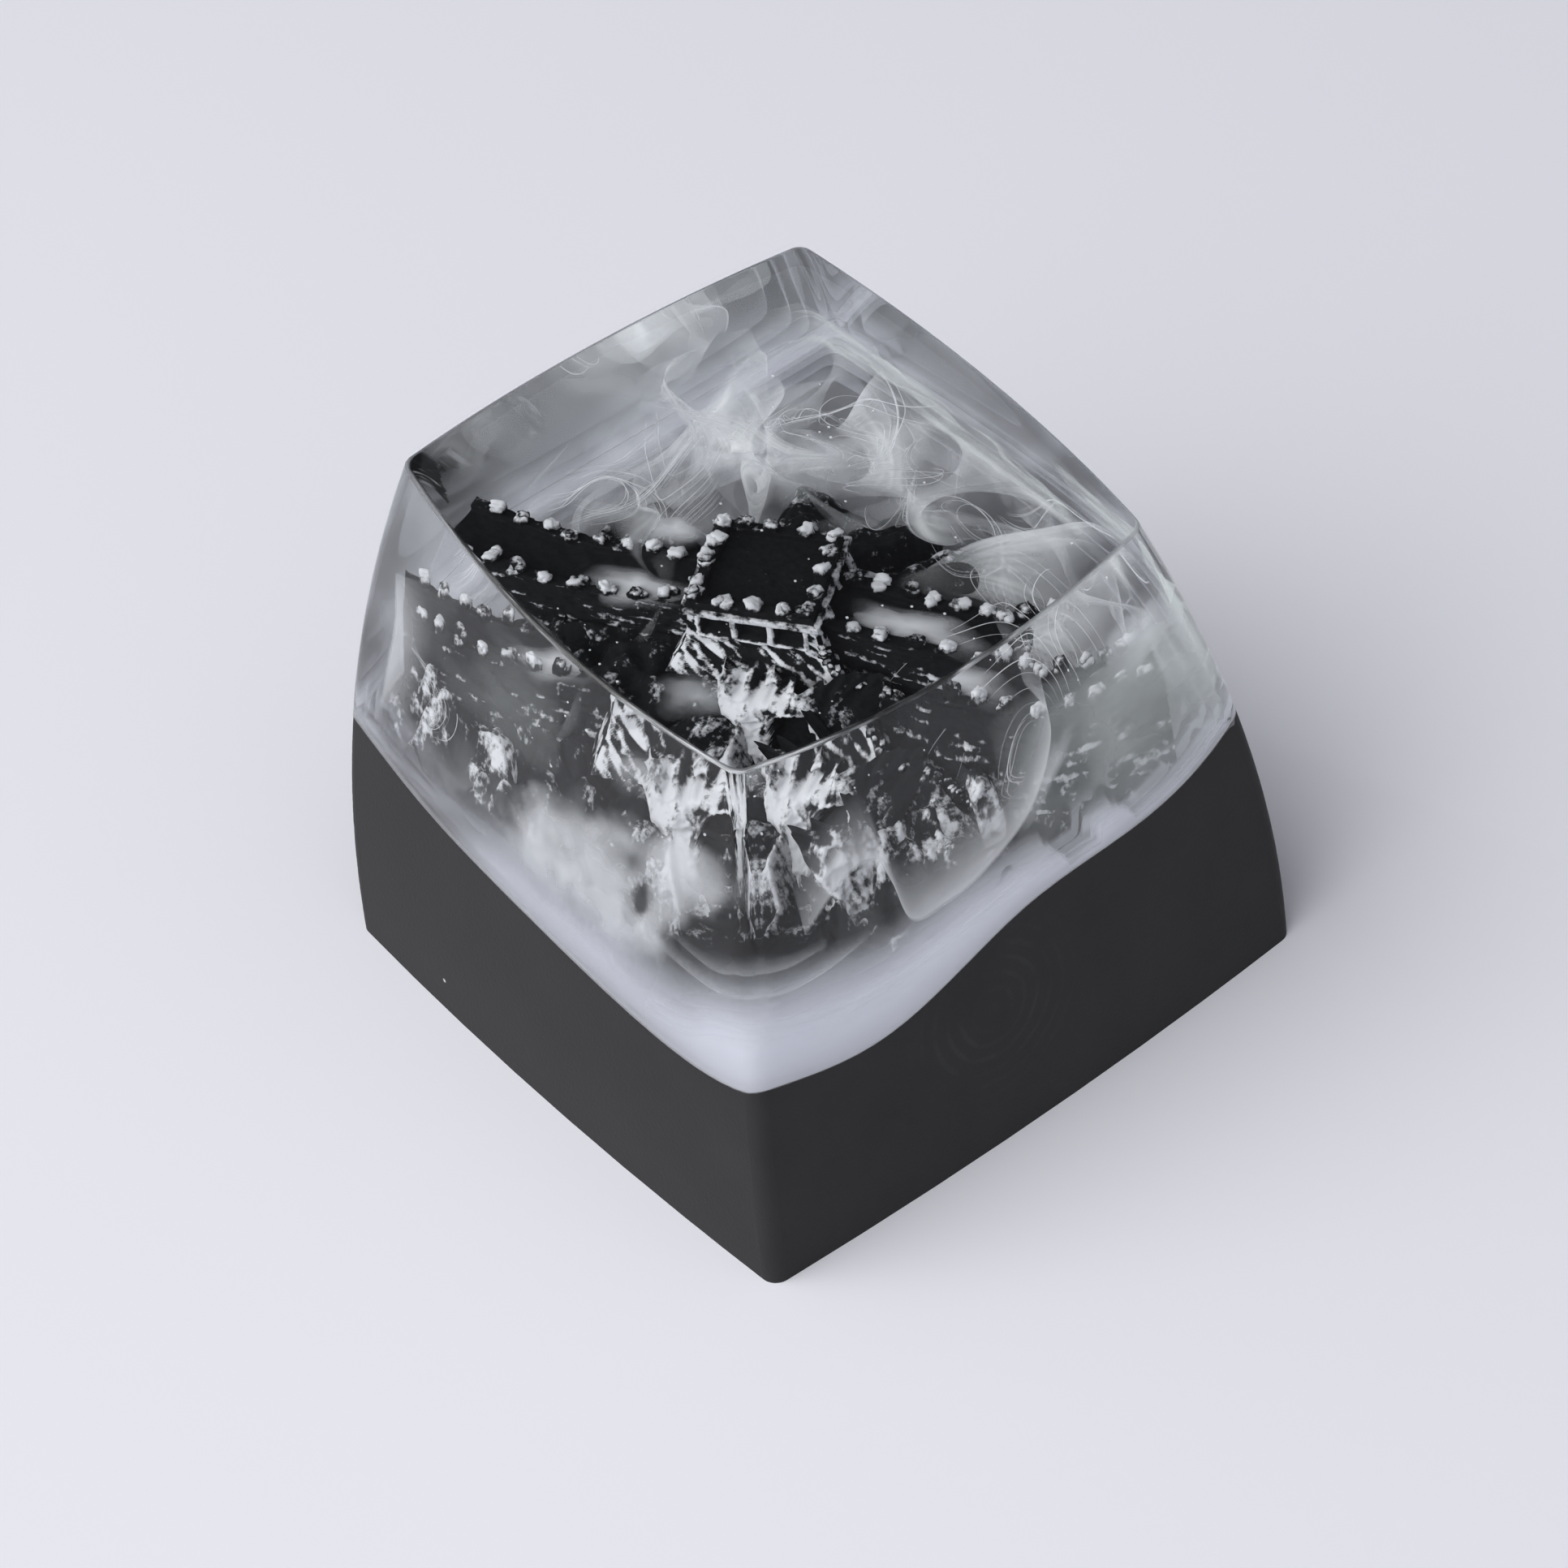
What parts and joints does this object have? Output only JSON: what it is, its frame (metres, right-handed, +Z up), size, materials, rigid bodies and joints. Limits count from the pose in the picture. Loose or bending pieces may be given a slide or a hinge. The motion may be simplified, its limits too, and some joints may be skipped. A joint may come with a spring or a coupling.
{
  "type": "artisan keycap",
  "caption": "Tall sculpted resin keycap with a matte black skirt, a milky pour and a clear top that holds a miniature stone wall and watchtower in mist.",
  "frame": {"origin": "centre of the rim plane, where the cap would stand on a table", "axes": "+Z up out of the keyboard, -Y towards the typist, +X to the typist's right"},
  "size_m": [0.0186, 0.0186, 0.016],
  "materials": {
    "matte_black_resin": "fine matte cast surface",
    "milky_resin": "cloudy white, satin where it meets the outside",
    "clear_resin": "clear, satin polished outside, around veils of white mist",
    "painted_miniature": "near black, edges dry-brushed white"
  },
  "bodies": {
    "root": {"base_shell": "matte_black_resin", "cloud_layer": "milky_resin", "clear_top": "clear_resin", "ridge_miniature": "painted_miniature"}
  },
  "joints": []
}
